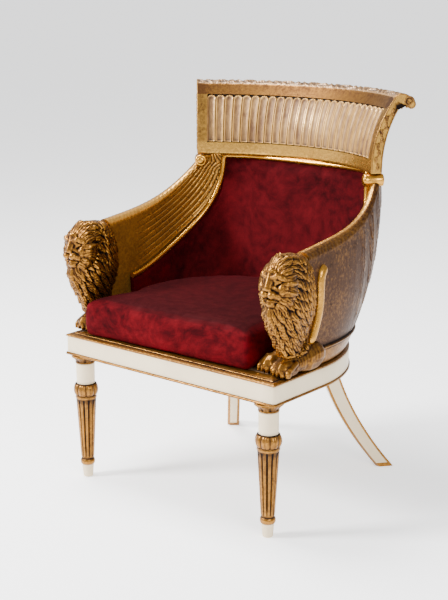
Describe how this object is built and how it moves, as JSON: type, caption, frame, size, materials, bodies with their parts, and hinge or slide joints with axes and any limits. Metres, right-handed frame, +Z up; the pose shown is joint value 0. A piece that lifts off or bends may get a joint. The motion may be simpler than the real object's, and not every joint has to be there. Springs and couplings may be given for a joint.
{
  "type": "throne armchair",
  "caption": "Gilt and ivory painted gondola armchair with winged lions for arms, a fluted flared crest and crimson velvet seat and back.",
  "frame": {"origin": "on the floor, under the middle of the chair's width and depth", "axes": "+Z up, the chair faces -Y, +X to the right of someone who looks at its front"},
  "size_m": [0.6976, 0.6385, 0.9433],
  "materials": {
    "gilt_wood": "aged water gilding with brown wear",
    "ivory_paint": "satin ivory paint with gilt lines",
    "crimson_velvet": "crushed velvet",
    "bare_wood": "plain unfinished wood"
  },
  "bodies": {
    "root": {"rail_top_moulding": "gilt_wood", "rail_bottom_bead": "gilt_wood", "winged_lion_left": "gilt_wood", "winged_lion_right": "gilt_wood", "back_shell": "gilt_wood", "crest": "gilt_wood", "upholstery_bead": "gilt_wood", "seat_rail": "ivory_paint", "front_leg_left": "ivory_paint", "front_leg_right": "ivory_paint", "rear_leg_left": "ivory_paint", "rear_leg_right": "ivory_paint", "back_upholstery": "crimson_velvet", "seat_cushion": "crimson_velvet", "seat_board": "bare_wood"}
  },
  "joints": []
}
